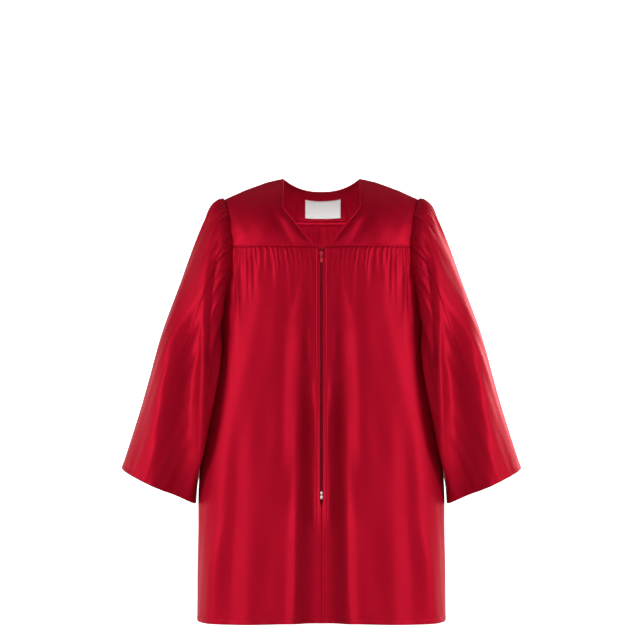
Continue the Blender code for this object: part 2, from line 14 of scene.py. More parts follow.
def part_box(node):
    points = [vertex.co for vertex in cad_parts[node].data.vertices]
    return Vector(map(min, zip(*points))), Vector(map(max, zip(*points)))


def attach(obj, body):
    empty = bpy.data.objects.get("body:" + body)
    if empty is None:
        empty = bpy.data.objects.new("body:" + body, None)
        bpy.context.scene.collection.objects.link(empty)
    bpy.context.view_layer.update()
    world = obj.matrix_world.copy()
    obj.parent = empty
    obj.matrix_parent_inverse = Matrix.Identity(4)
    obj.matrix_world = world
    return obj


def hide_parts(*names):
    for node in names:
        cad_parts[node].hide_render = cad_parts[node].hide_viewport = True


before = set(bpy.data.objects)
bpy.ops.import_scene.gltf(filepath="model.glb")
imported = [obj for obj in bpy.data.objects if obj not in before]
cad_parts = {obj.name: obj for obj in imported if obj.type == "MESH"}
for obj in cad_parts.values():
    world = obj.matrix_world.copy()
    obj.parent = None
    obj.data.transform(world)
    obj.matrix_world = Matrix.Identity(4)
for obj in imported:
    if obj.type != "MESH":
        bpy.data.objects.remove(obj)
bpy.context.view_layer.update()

MM = 0.001
QUARTER = math.pi / 2

# The gown's cut, as in its solids
SEAM = 0.0003
FRONT_SEAM = -0.14
BACK_SEAM = -0.092
FRONT_TOP = FRONT_SEAM - SEAM
BACK_TOP = BACK_SEAM - SEAM
UNDERARM = -0.316
HEM_CENTRE = -0.9
HEM_LOWEST = -0.906
HEM_SIDE = -0.902
HEM_BACK_DIP = 0.006
NECK_HALF_WIDTH = 0.078
NECK_BACK_DEPTH = 0.052
NECK_BACK_DROP = 0.025
SHOULDER_X = 0.2
SHOULDER_DROP = 0.043
SHOULDER_POWER = 1.35
NECK_SHARE = 0.42
SHOULDER_GAP = 0.0007
FRONT_CORNER = math.radians(53.3)
BACK_CORNER = math.radians(58.2)
BODY_POWER = 2.6
CUFF_POWER = 2.5
YOKE_FORWARD_POWER = 1.3
YOKE_DOWN_POWER = 0.85
ROW_POWER = 1.35
SLEEVE_SEAM_LIFT = 0.0018
SLEEVE_CLEAR = 0.006
SLEEVE_CLEAR_REACH = 0.16
CAP_SHARE = 0.36
YOKE_SHARE = 0.38
CUFF_OUTER = np.array((0.408, 0, -0.595))
CUFF_INNER = np.array((0.257, 0, -0.664))
CUFF_HALF_DEPTH = 0.088
CUFF_CORNER_LIFT = 0.004
LABEL_SIDES = (-0.0335, 0.0397)
LABEL_EDGES = (0.415, 0.855)

# Sections of the body in millimetres, bottom to top: height, half width, depth ahead, depth behind
BODY = MM * np.array((
    (-920, 253, 142, 158),
    (-660, 252, 134, 150),
    (-560, 246, 130, 145),
    (-450, 234, 124, 136),
    (-320, 215, 115, 121),
    (-200, 211, 108, 107),
    (-140, 210, 104, 100),
    (-90, 207, 98, 93),
))

# Half openings by height in millimetres: the V neck, the slit that the zip closes, the armhole's edge
V_NECK = MM * np.array(((-140, 11.5), (-100, 43.5), (-63, 73.1), (-54, 77.3), (0, 78)))
ZIP_EDGE = MM * np.array((
    (-930, 0.3),
    (-668, 0.3),
    (-653, 2.8),
    (-175, 2.8),
    (-163, 4.7),
    (-150, 5.4),
    (-140, 11.5),
))
YOKE_ARM_EDGE = MM * np.array(((-140, 181.2), (-82, 187), (-43, 200)))

# How the sleeve leaves the armhole and reaches the cuff, in millimetres, by its share of the way round
SLEEVE_PATHS = np.array((
    (0, 45, 0, 0, 108, 0, -333),
    (0.12, 44, -24, -10, 100, 6, -310),
    (0.25, 38, -38, -35, 75, 12, -260),
    (0.34, 4, -56, -66, 44, 30, -180),
    (0.4, -31, -79, -55, 26, 36, -110),
    (0.45, 2, -18, -100, 14, 18, -130),
    (0.5, 8, 0, -110, 12, 0, -150),
))

# Folds, placed in the front view and from behind, in millimetres: where each starts and ends,
# how far it spreads to the centre line's side and to the other side, and how far it stands out
BODY_FOLDS = {
    "front": (
        (30, -300, 16, -700, 30, 27, -8),
        (34, -170, 58, -620, 14, 20, 5),
        (80, -200, 84, -640, 18, 20, -3.5),
        (22, -640, 20, -990, 20, 20, -6),
        (50, -600, 54, -990, 18, 20, 5),
        (110, -260, 120, -990, 30, 30, -4),
        (165, -420, 187, -990, 28, 20, -6),
        (208, -670, 236, -990, 20, 20, 6),
        (26, -360, 15, -740, 10, 18, -8.5),
        (36, -250, 56, -990, 12, 12, 6.5),
        (30, -290, 29, -380, 5, 8, -2.2),
        (34, -145, 70, -300, 10, 20, -2),
        (86, -150, 94, -620, 12, 16, 2.2),
    ),
    "back": (
        (0, -150, 0, -990, 26, 26, -6),
        (55, -180, 64, -990, 28, 26, 7),
        (110, -250, 128, -990, 24, 24, -6),
        (160, -360, 184, -990, 26, 22, 7),
        (200, -560, 228, -990, 18, 18, -5),
        (30, -110, 34, -520, 8, 12, -2),
        (84, -110, 92, -470, 10, 10, -2.2),
        (142, -330, 150, -800, 10, 12, -1.8),
    ),
}
SLEEVE_FOLDS = {
    "front": (
        (208, -75, 240, -400, 13, 13, -8),
        (259, -130, 306, -800, 24, 24, -8.5),
        (232, -240, 262, -800, 16, 16, 11),
        (290, -180, 378, -800, 22, 22, 11),
        (213, -85, 240, -420, 4, 12, 3),
        (246, -180, 264, -780, 9, 34, -10.5),
        (268, -130, 362, -780, 34, 14, 7),
        (238, -200, 252, -700, 7, 8, 2),
    ),
    "back": (
        (212, -85, 246, -420, 15, 15, -8),
        (270, -160, 318, -800, 26, 26, -8.5),
        (236, -260, 272, -800, 18, 18, 10),
        (302, -240, 372, -800, 24, 24, 10),
        (232, -240, 262, -640, 8, 12, 3),
    ),
}

# Creases of the yokes, in the same order: beside the V neck, and behind the neck's corners
YOKE_CREASES = (
    (85, -62, 30, -142, 10, 14, 2.6),
    (100, -62, 56, -142, 8, 12, -1.2),
    (120, -50, 110, -142, 14, 14, 1),
)
NECK_CREASES = (
    (48, -18, 66, -120, 6, 8, -3.2),
    (62, -8, 84, -110, 6, 6, 2.8),
    (40, -18, 52, -100, 5, 7, 2),
    (120, -20, 126, -110, 12, 16, -1.2),
)

# Gathers, coarse and fine: chance, from where to where along the seam, distance apart, depth, how far
# below the seam they are fullest, and how far down they reach
GATHERS = {
    "front": (
        (11, 0.012, 0.196, 0.0105, 0.0026, 0.03, 0.15),
        (12, 0.01, 0.196, 0.0048, 0.0009, 0.008, 0.045),
    ),
    "back": (
        (21, -0.212, 0.212, 0.0112, 0.0028, 0.032, 0.19),
        (22, -0.212, 0.212, 0.0052, 0.0009, 0.008, 0.05),
    ),
    "sleeve": (
        (51, -0.19, 0.19, 0.008, 0.0036, 0.022, 0.12),
        (52, -0.19, 0.19, 0.005, 0.0014, 0.008, 0.055),
    ),
}

# Cloth and sewing
CLOTH = 0.5 * MM
TURNED = 1.1 * MM
HEM_TURN = 9 * MM
PLACKET = 9.2 * MM
ALLOWANCE = 9 * MM
NECK_TURN = 4.5 * MM
TURN_WIDTH = 0.21
SIDE_WIDTH = 0.126
CAP_WIDTH = 0.52
YOKE_WIDTH = 0.17
FRONT_YOKE_DEPTH = 0.13
BACK_YOKE_DEPTH = 0.11
STITCH_PITCH = 3 * MM
STITCH_LENGTH = 2.3 * MM
STITCH_LIFT = 0.35 * MM
PLACKET_COLUMN = 20
THREAD = 0.42 * MM
SIDES = (("left", False), ("right", True))


def ease(share):
    """A smooth step from 0 to 1."""
    share = np.clip(share, 0, 1)
    return share * share * (3 - 2 * share)


def hump(distance, spread):
    """A soft ridge round zero, 1 high."""
    return np.exp(-((distance / spread) ** 2))


def read(table, column, at):
    """A table's column, on a smooth curve through its rows."""
    keys, values = table[:, 0], table[:, column]
    steps = np.diff(values) / np.diff(keys)
    before, after = steps[:-1], steps[1:]
    turns = before * after <= 0
    inner = np.where(turns, 0, 2 * before * after / np.where(turns, 1, before + after))
    slopes = np.concatenate((steps[:1], inner, steps[-1:]))
    at = np.clip(at, keys[0], keys[-1])
    row = np.clip(np.searchsorted(keys, at, side="right") - 1, 0, len(keys) - 2)
    span = keys[row + 1] - keys[row]
    t = (at - keys[row]) / span
    start = (1 + 2 * t) * (1 - t) ** 2 * values[row] + t * (1 - t) ** 2 * span * slopes[row]
    return start + t * t * (3 - 2 * t) * values[row + 1] - t * t * (1 - t) * span * slopes[row + 1]


def length(vectors):
    return np.sqrt((vectors**2).sum(-1, keepdims=True))


def unit(vectors):
    return vectors / np.maximum(length(vectors), 1e-12)


def stacked(x, y, z):
    return np.stack(np.broadcast_arrays(x, y, z), -1)


def run_along(points):
    """How far each row of points lies from the first, along the cloth."""
    steps = length(np.diff(points, axis=0))[..., 0]
    return np.concatenate((np.zeros((1,) + steps.shape[1:]), np.cumsum(steps, 0)))


def grid(u, v):
    """Every u in each row and every v in each column."""
    return np.broadcast_arrays(u[None, :], v[:, None])


def both_sides(half):
    """Steps from the middle outward, on both sides of it."""
    return np.concatenate((-half[:0:-1], half))


def between(values, keys, at):
    """Points at places between their keys."""
    return np.stack([np.interp(at, keys, values[:, i]) for i in range(3)], -1)


def squareness(turn, power):
    """How far a squared-off oval stands outside a plain one."""
    return (np.abs(np.sin(turn)) ** power + np.abs(np.cos(turn)) ** power) ** (-1 / power)


def fold_rise(folds, x, z):
    """How far the placed folds lift the cloth at this place."""
    total = 0
    for fold in folds:
        top_x, top_z, low_x, low_z, inner, outer, rise = (value * MM for value in fold)
        share = np.clip((z - top_z) / (low_z - top_z), 0, 1)
        beside = np.abs(x) - (top_x + (low_x - top_x) * share)
        strength = ease(share / 0.35) * ease((1 - share) / 0.2)
        total = total + rise * strength * hump(beside, np.where(beside < 0, inner, outer))
    return total


def placed_folds(folds, ahead, x, z):
    """The lift of the front's folds ahead, and of the back's behind."""
    return np.where(ahead, fold_rise(folds["front"], x, z), fold_rise(folds["back"], x, z))


def ripples(across, down, seed, pitch, stretch, rise):
    """Slight unevenness of hanging cloth."""
    chance = np.random.default_rng(seed)
    total = 0
    for _ in range(9):
        wave = 2 * math.pi / (pitch * chance.uniform(0.6, 1.9))
        lean = chance.normal(0, 0.35)
        phase = chance.uniform(0, 2 * math.pi)
        slant = wave / stretch * down * lean
        total = total + np.cos(wave * (across + lean * down / stretch * 1.5) + slant + phase)
    return rise * total / 3


def gathers(across, drop, seed, low, high, pitch, depth, peak, reach):
    """Gathers below a seam, each with its own place, depth, lean and length."""
    chance = np.random.default_rng(seed)
    total = np.zeros(np.broadcast(across, drop).shape)
    place = low + pitch * 0.5
    while place < high:
        width = pitch * chance.uniform(0.26, 0.42)
        stand = depth * chance.uniform(0.55, 1.25)
        far = reach * chance.uniform(0.45, 1.25)
        lean = chance.normal(0, 0.05)
        grow = 0.35 + 0.65 * ease(drop / peak)
        fade = 1 - ease((drop - peak) / np.maximum(far - peak, 1e-4))
        spread = width * (1 + 0.9 * ease(drop / far))
        total += stand * grow * fade * hump(across - place - lean * drop, spread)
        place += pitch * chance.uniform(0.72, 1.28)
    return total


def depth_at(ahead, height):
    """The body's depth at a height, in front or behind."""
    return np.where(ahead, read(BODY, 2, height), read(BODY, 3, height))


def body_point(turn, height):
    """A point on the body's cloth. The turn is 0 at centre front, and grows to the wearer's left."""
    turn, height = np.broadcast_arrays(turn, height)
    width = read(BODY, 1, height)
    ahead = np.cos(turn) >= 0
    depth = depth_at(ahead, height)
    reach = squareness(turn, BODY_POWER)
    x = width * np.sin(turn) * reach
    y = -depth * np.cos(turn) * reach
    across = np.copysign(np.abs(x / width) ** (BODY_POWER - 1) / width, x)
    along = np.copysign(np.abs(y / depth) ** (BODY_POWER - 1) / depth, y)
    out = placed_folds(BODY_FOLDS, ahead, x, height)
    return stacked(x, y, height) + unit(stacked(across, along, 0)) * out[..., None]


def hem_height(turn):
    """The hem dips a little between centre front and side."""
    lift = np.cos(turn) ** 8 * (HEM_CENTRE - HEM_LOWEST) + np.sin(turn) ** 6 * (HEM_SIDE - HEM_LOWEST)
    return HEM_LOWEST + lift


def panel_top(u, corner, yoke_seam):
    """The turn and height of a panel's upper edge: 0 to 1 under the yoke, 1 to 2 round the armhole."""
    swing = (np.clip(u, 1, 2) - 1) * QUARTER
    turn = np.where(u <= 1, corner * u, corner + (QUARTER - corner) * (1 - np.cos(swing)))
    return turn, np.where(u <= 1, yoke_seam, yoke_seam + (UNDERARM - yoke_seam) * np.sin(swing))


def front_turn(turn, height):
    """The front's turn is spread between the slit's edge and the side seam."""
    start = read(ZIP_EDGE, 1, height) / read(BODY, 1, height)
    end = QUARTER - 0.5 * SEAM / read(BODY, 2, height)
    return start + (end - start) * turn / (QUARTER)


def front_panel(u, v):
    """Half the front, from the zip (u = 0) past the yoke's corner (1) to the side seam (2)."""
    turn, top = panel_top(u, FRONT_CORNER, FRONT_TOP)
    height = top + (hem_height(turn) - top) * v**ROW_POWER
    return body_point(front_turn(turn, height), height)


def back_panel(u, v):
    """The back, from one side seam (u = -2) past centre back (0) to the other (2)."""
    turn, top = panel_top(np.abs(u), BACK_CORNER, BACK_TOP)
    height = top + (hem_height(QUARTER) - HEM_BACK_DIP * np.cos(turn) - top) * v**ROW_POWER
    end = QUARTER - 0.5 * SEAM / read(BODY, 3, height)
    point = body_point(math.pi - end * turn / (QUARTER), height)
    point[..., 0] = np.copysign(point[..., 0], u)
    return point


def shoulder_point(share):
    """A point on the shoulder seam, from the neck (0) to the armhole (1)."""
    share = np.clip(share, 0, 1)
    x = NECK_HALF_WIDTH + (SHOULDER_X - NECK_HALF_WIDTH) * share
    return stacked(x, 0, -SHOULDER_DROP * share**SHOULDER_POWER)


def yoke_forward(v):
    return np.sin(v * QUARTER) ** YOKE_FORWARD_POWER


def yoke_down(v):
    return (1 - np.cos(v * QUARTER)) ** YOKE_DOWN_POWER


def front_yoke(u, v):
    """Half the front yoke, from neck edge (u = 0) to armhole (1) and shoulder (v = 0) to yoke seam (1)."""
    half_width = read(BODY, 1, FRONT_SEAM)
    first = read(ZIP_EDGE, 1, FRONT_SEAM) / half_width
    inner = body_point(first, FRONT_SEAM)[0]
    outer = body_point(FRONT_CORNER, FRONT_SEAM)[0]
    end = body_point(first + (FRONT_CORNER - first) * u, FRONT_SEAM)
    across = (end[..., 0] - inner) / (outer - inner)
    start = shoulder_point(across)
    neck_x = read(V_NECK, 1, FRONT_SEAM * yoke_down(v))
    arm_z = -SHOULDER_DROP + (FRONT_SEAM + SHOULDER_DROP) * yoke_down(v)
    arm_x = read(YOKE_ARM_EDGE, 1, arm_z)
    return stacked(
        neck_x + (arm_x - neck_x) * across,
        end[..., 1] * yoke_forward(v) - 0.5 * SHOULDER_GAP * (1 - v),
        start[..., 2] + (end[..., 2] - start[..., 2]) * yoke_down(v),
    )


def back_yoke(u, v):
    """The back yoke, from one armhole (u = -1) past centre back (0) to the other (1), neck to yoke seam."""
    share = np.abs(u)
    end = body_point(math.pi - BACK_CORNER * share, BACK_SEAM)
    swing = np.minimum(share / NECK_SHARE, 1) * QUARTER
    drop = NECK_BACK_DROP * (1 - np.sin(swing) ** 2.4)
    neck = stacked(NECK_HALF_WIDTH * np.sin(swing), NECK_BACK_DEPTH * np.cos(swing), -drop)
    shoulder = shoulder_point((share - NECK_SHARE) / (1 - NECK_SHARE))
    start = np.where((share < NECK_SHARE)[..., None], neck, shoulder)
    return stacked(
        np.copysign(start[..., 0] + (end[..., 0] - start[..., 0]) * v, u),
        start[..., 1] + (end[..., 1] - start[..., 1]) * yoke_forward(v) + 0.5 * SHOULDER_GAP * (1 - v),
        start[..., 2] + (end[..., 2] - start[..., 2]) * yoke_down(v),
    )


def facing(place, u, v, step=1e-3):
    """The direction square to a piece at its points."""
    across = place(u + step, v) - place(u - step, v)
    down = place(u, np.minimum(1, v + step)) - place(u, np.maximum(0, v - step))
    return unit(np.cross(down, across))


def armhole(share):
    """The left armhole and the way the cloth faces there: shoulder, front, underarm, back."""
    half = np.where(share <= 0.5, share, 1 - share) / 0.5
    points = np.zeros((len(share), 3))
    normals = np.zeros((len(share), 3))
    for ahead, yoke, panel in ((True, front_yoke, front_panel), (False, back_yoke, back_panel)):
        side = (share <= 0.5) == ahead
        upper = side & (half < YOKE_SHARE)
        lower = side & (half >= YOKE_SHARE)
        v = half[upper] / YOKE_SHARE
        points[upper] = yoke(np.ones_like(v), v)
        normals[upper] = facing(yoke, np.full_like(v, 0.999), v)
        u = 1 + (half[lower] - YOKE_SHARE) / (1 - YOKE_SHARE)
        points[lower] = panel(u, np.zeros_like(u))
        normals[lower] = facing(panel, np.minimum(u, 1.999), np.zeros_like(u))
    return points, np.where(normals[:, :1] < 0, -normals, normals)


def cuff_point(share):
    """The sleeve's lower edge, from its outer end (0) past the front, inner end (0.5) and back."""
    turn = 2 * math.pi * share
    reach = squareness(turn, CUFF_POWER)
    out = (CUFF_OUTER - CUFF_INNER) / 2
    point = (CUFF_OUTER + CUFF_INNER) / 2 + out * (np.cos(turn) * reach)[:, None]
    point[:, 1] -= CUFF_HALF_DEPTH * np.sin(turn) * reach
    point[:, 2] += CUFF_CORNER_LIFT * np.maximum(0, np.cos(turn)) ** 10
    return point


def clear_of_body(point, margin):
    """Moves the sleeve straight out from the body until it is clear of it."""
    x, y, z = point[..., 0], point[..., 1], point[..., 2]
    width = read(BODY, 1, z) + margin
    depth = depth_at(y < 0, z) + margin
    inside = np.abs(x / width) ** BODY_POWER + np.abs(y / depth) ** BODY_POWER
    push = np.where(inside < 1, np.maximum(inside, 1e-6) ** (-1 / BODY_POWER), 1)
    push = 1 + (push - 1) * ease((FRONT_SEAM + 0.02 - z) / 0.05)
    return stacked(x * push, y * push, z)


def sleeve_paths(share, along):
    """The sleeve's smooth surface: rows from the armhole (0) to the cuff (1), a column for each share."""
    half = np.where(share <= 0.5, share, 1 - share)
    side = np.where(share <= 0.5, 1, -1)
    seam, normal = armhole(share)
    start = seam + normal * SLEEVE_SEAM_LIFT
    end = cuff_point(share)
    out = MM * np.stack([read(SLEEVE_PATHS, column, half) for column in (1, 2, 3)], -1)
    cuff = MM * np.stack([read(SLEEVE_PATHS, column, half) for column in (4, 5, 6)], -1)
    out[:, 1] *= side
    cuff[:, 1] *= side
    t = along[:, None, None]
    point = start * (1 - t) ** 3 + (start + out) * 3 * (1 - t) ** 2 * t
    point = point + (end - cuff) * 3 * (1 - t) * t**2 + end * t**3
    margin = SLEEVE_SEAM_LIFT + (SLEEVE_CLEAR - SLEEVE_SEAM_LIFT) * ease(along / SLEEVE_CLEAR_REACH)
    return clear_of_body(point, margin[:, None])


def square_to(points, closed=False):
    """The direction out of a grid of points."""
    if closed:
        around = np.roll(points, -1, 1) - np.roll(points, 1, 1)
    else:
        around = np.gradient(points, axis=1)
    normal = unit(np.cross(np.gradient(points, axis=0), around))
    middle = points.reshape(-1, 3).mean(0) if closed else np.zeros(3)
    outward = ((points - middle)[..., :2] * normal[..., :2]).sum()
    return normal if outward > 0 else -normal


def shell(name, points, wall, closed=False, mirror=False):
    """Cloth of this thickness on a grid of points, with its edges rounded over."""
    if mirror:
        points = points * np.array((-1, 1, 1))
    rows, columns = points.shape[:2]
    count = rows * columns
    normal = square_to(points, closed).reshape(-1, 3)
    wall = np.broadcast_to(np.asarray(wall, float), (rows, columns)).reshape(-1, 1)
    flat = points.reshape(-1, 3)
    places = [flat + normal * wall / 2, flat - normal * wall / 2]
    around, down = run_along(points[rows // 2]), run_along(points[:, columns // 2])
    chart = np.stack(grid(around, down), -1).reshape(-1, 2)
    charts = [chart, chart]
    index = np.arange(count).reshape(rows, columns)
    if closed:
        index = np.hstack((index, index[:, :1]))
    quads = np.stack((index[:-1, :-1], index[1:, :-1], index[1:, 1:], index[:-1, 1:]), -1).reshape(-1, 4)
    faces = [quads, quads[:, ::-1] + count]
    edges = [(index[0, ::-1], index[1, ::-1]), (index[-1], index[-2])]
    if not closed:
        edges += [(index[:, 0], index[:, 1]), (index[::-1, -1], index[::-1, -2])]
    total = 2 * count
    for edge, beside in edges:
        places.append(flat[edge] + unit(flat[edge] - flat[beside]) * wall[edge] / 2)
        charts.append(chart[edge])
        rim = np.arange(len(edge)) + total
        total += len(edge)
        faces.append(np.stack((edge[:-1], edge[1:], rim[1:], rim[:-1]), -1))
        faces.append(np.stack((rim[:-1], rim[1:], edge[1:] + count, edge[:-1] + count), -1))
    faces = np.concatenate(faces)
    middle = quads[len(quads) // 2]
    a, b, d = (places[0][middle[i]] for i in (0, 1, 3))
    if np.dot(np.cross(b - a, d - a), normal[middle[0]]) < 0:
        faces = faces[:, ::-1]
    return solid(name, np.concatenate(places), faces.tolist(), np.concatenate(charts)[faces.reshape(-1)])


def put(name, data, place=(0, 0, 0)):
    """Puts a mesh, a lamp or the camera in the scene."""
    thing = bpy.data.objects.new(name, data)
    thing.location = place
    bpy.context.scene.collection.objects.link(thing)
    return thing


def solid(name, places, faces, chart=None):
    """A piece from points and faces, with the cloth's chart if it has one."""
    mesh = bpy.data.meshes.new(name)
    mesh.from_pydata(np.asarray(places, float).tolist(), [], faces)
    if chart is not None:
        layer = mesh.uv_layers.new(name="cloth")
        layer.data.foreach_set("uv", chart.reshape(-1))
    mesh.validate()
    mesh.shade_smooth()
    return put(name, mesh)


def dress(piece, material, slot, *nodes, body="gown"):
    """Gives a piece its material and its body, and hides the solids it stands for. The finish slot is not
    used.
    """
    piece.data.materials.clear()
    piece.data.materials.append(material)
    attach(piece, body)
    if nodes:
        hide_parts(*nodes)
    return piece


def knots(*pairs, start=0):
    """Uneven steps: each pair is where a stretch ends and how many steps it takes."""
    values = [start]
    for high, steps in pairs:
        low = values[-1]
        values += [low + (high - low) * (i + 1) / steps for i in range(steps)]
    return np.array(values)


def sink_stitch(distance, spread=0.8 * MM, depth=0.35 * MM):
    """The dent of a row of stitches."""
    return -depth * hump(distance, spread)


def dip(distance, depth, spread=3 * MM):
    """How far cloth sinks toward a seam."""
    return depth * (1 - ease(distance / spread))


def hem_rise(above, across, seed):
    """A turned hem: pulled in by its stitches, with slight puckers."""
    pucker = ripples(across, above, seed, 0.022, 3, 0.35 * MM)
    return sink_stitch(above - HEM_TURN) + pucker * (1 - ease(above / 0.035))


def gathered(part, across, drop, where):
    """The coarse and the fine gathers of one panel."""
    return sum(gathers(across, drop, *row) * where for row in GATHERS[part])


def raised(points, rise, closed=False):
    """Points moved out of the cloth's surface."""
    return points + square_to(points, closed) * rise[..., None]


def turned(above, turn=HEM_TURN):
    """Cloth thickness near an edge that is turned under."""
    return CLOTH + (TURNED - CLOTH) * (1 - ease((above - turn) / MM + 0.5))


def make_front():
    beside = MM * knots((3, 6), (9.5, 12), (14, 6))
    rest = knots((1, 170))[1:]
    arm = knots((1.94, 34), (2, 5), start=1)[1:]
    drop = knots((6, 6), (60, 28), (700, 84), (748, 14), (760, 14))
    v = (drop / drop[-1]) ** (1 / ROW_POWER)
    height = FRONT_TOP + (HEM_CENTRE - FRONT_SEAM) * v**ROW_POWER
    first = beside[None, :] / read(BODY, 1, height)[:, None] / FRONT_CORNER
    under = first[:, -1:] + (1 - first[:, -1:]) * rest[None, :]
    u = np.hstack((first, under, np.broadcast_to(arm, (len(v), len(arm)))))
    v = np.broadcast_to(v[:, None], u.shape)
    points = front_panel(u, v)
    turn, top = panel_top(u, FRONT_CORNER, FRONT_TOP)
    x, z = points[..., 0], points[..., 2]
    drop = top - z
    above = z - hem_height(turn)
    across = turn * TURN_WIDTH
    rise = gathered("front", across, drop, 1 - ease((u - 0.94) / 0.06))
    rise *= ease((x - 9.5 * MM) / (6 * MM)) * (0.35 + 0.65 * ease((x - 0.02) / 0.05))
    rise += ripples(across, z, 13, 0.06, 5, 0.55 * MM) * ease(drop / 0.05) * ease((x - 0.012) / 0.02)
    rise += hem_rise(above, across, 14)
    rise += 0.55 * MM * hump(x - PLACKET + 0.6 * MM, 1.5 * MM)
    rise += sink_stitch(x - PLACKET - 1.6 * MM, 0.9 * MM, 0.5 * MM)
    rise -= dip(drop, 0.8 * MM) + dip((2 - u) * SIDE_WIDTH, 0.8 * MM)
    return u, raised(points, rise), np.maximum(turned(above), turned(x, PLACKET))


def outward_sign(place):
    """Whether facing() points out of the gown or into it."""
    u, v = np.array([0.5]), np.array([0.8])
    point, normal = place(u, v)[0], facing(place, u, v)[0]
    return 1 if np.dot(point[:2], normal[:2]) > 0 else -1


def inward(place, u, v, step=1e-3):
    """The direction from a yoke's points into the gown."""
    return -facing(place, u, v, step) * outward_sign(place)


def with_allowance_up(u, points, wall, yoke):
    """Adds the seam allowance, pressed up behind the yoke, to a gathered panel."""
    top = np.clip(u[0], -1, 1)
    beyond = np.abs(u[0]) > 1
    folded = points[0] - (points[1] - points[0]) * 0.02 - square_to(points)[0] * 0.8 * MM
    extra = []
    for share in (1, 0.6, 0.25, 0.05):
        v = np.full_like(top, 1 - share * ALLOWANCE / BACK_YOKE_DEPTH)
        place = yoke(top, v) + inward(yoke, top, v, 2e-3) * MM
        place[beyond] = folded[beyond]
        extra.append(place)
    rows = np.concatenate((np.stack(extra), points))
    return rows, np.concatenate((np.full((len(extra), points.shape[1]), CLOTH), wall))


def make_back():
    u = both_sides(knots((1, 126), (1.94, 28), (2, 5)))
    drop = knots((6, 5), (60, 24), (745, 86), (796, 10), (808, 13))
    u, v = grid(u, (drop / drop[-1]) ** (1 / ROW_POWER))
    points = back_panel(u, v)
    turn, top = panel_top(np.abs(u), BACK_CORNER, BACK_TOP)
    z = points[..., 2]
    drop = top - z
    above = z - (hem_height(QUARTER) - HEM_BACK_DIP * np.cos(turn))
    across = np.copysign(turn * TURN_WIDTH, u)
    rise = gathered("back", across, drop, 1 - ease((np.abs(u) - 0.94) / 0.06))
    rise += ripples(across, z, 23, 0.06, 5, 0.6 * MM) * ease(drop / 0.05)
    rise += hem_rise(above, across, 24)
    rise -= dip(drop, 0.8 * MM) + dip((2 - np.abs(u)) * SIDE_WIDTH, 0.8 * MM)
    return u, raised(points, rise), turned(above)


def make_front_yoke():
    u, v = grid(knots((0.08, 14), (0.94, 56), (1, 6)), knots((0.04, 5), (0.94, 56), (1, 6)))
    points = front_yoke(u, v)
    x, z = points[..., 0], points[..., 2]
    edge = u * YOKE_WIDTH
    rise = ripples(x, z, 31, 0.055, 1.2, 0.45 * MM) * ease(u / 0.1)
    rise += sink_stitch(edge - NECK_TURN, 1.1 * MM, 0.5 * MM) + 0.9 * MM * hump(edge - 1.6 * MM, 1.7 * MM)
    rise += fold_rise(YOKE_CREASES, x, z)
    rise -= dip((1 - v) * FRONT_YOKE_DEPTH, 0.6 * MM) + dip(v * FRONT_YOKE_DEPTH, 0.5 * MM, 2.5 * MM)
    return raised(points, rise), turned(edge, NECK_TURN)


def make_back_yoke():
    u = both_sides(knots((NECK_SHARE, 44), (0.96, 44), (1, 4)))
    u, v = grid(u, knots((0.08, 8), (0.94, 46), (1, 5)))
    points = back_yoke(u, v)
    x, z = points[..., 0], points[..., 2]
    rise = ripples(x, z, 41, 0.05, 1.2, 0.5 * MM) * ease(v / 0.15)
    rise += fold_rise(NECK_CREASES, x, z) - dip((1 - v) * BACK_YOKE_DEPTH, 0.6 * MM)
    neck = np.where(np.abs(u) < NECK_SHARE, v * BACK_YOKE_DEPTH, 1)
    return raised(points, rise), turned(neck, NECK_TURN)


def make_sleeve():
    cap = knots((CAP_SHARE, 96), (0.49, 28), (0.5, 4))
    share = np.concatenate((cap, 1 - cap[-2:0:-1]))
    drop = knots((6, 5), (90, 30), (580, 70), (612, 8), (624, 13))
    along = (drop / drop[-1]) ** 1.06
    points = sleeve_paths(share, along)
    share, along = grid(share, along)
    ahead = share < 0.5
    x, z = points[..., 0], points[..., 2]
    nearest = np.minimum(share, 1 - share)
    down = run_along(points)
    above = down[-1:] - down
    across = np.where(ahead, nearest, -nearest) * CAP_WIDTH
    rise = placed_folds(SLEEVE_FOLDS, ahead, x, z)
    rise += gathered("sleeve", across, down, 1 - ease((nearest - 0.33) / 0.04))
    rise += ripples(across * (1 + along), z, 53, 0.07, 5, 0.8 * MM) * ease(down / 0.06)
    rise *= ease((0.42 - nearest) / 0.05)
    rise += hem_rise(above, across, 54) - 0.6 * MM * hump((0.5 - nearest) * 0.5, 1.6 * MM)
    points = raised(points, rise, True)
    inner, normal = armhole(share[0])
    tucked = inner - normal * MM
    towards = unit(np.array((0.05, 0, -0.16)) - inner) * ALLOWANCE
    extra = np.stack([tucked + towards * part for part in (1, 0.5, 0.1)])
    wall = np.concatenate((np.full(extra.shape[:2], CLOTH), turned(above)))
    return np.concatenate((extra, points)), wall


class Socket:
    """A value in a material, for use in Python arithmetic."""

    def __init__(self, paint, socket):
        self.paint = paint
        self.socket = socket

    def maths(self, operation, other):
        return self.paint.node("ShaderNodeMath", {"operation": operation}, _0=self, _1=other)

    def __add__(self, other):
        return self.maths("ADD", other)

    def __mul__(self, other):
        return self.maths("MULTIPLY", other)

    __radd__ = __add__


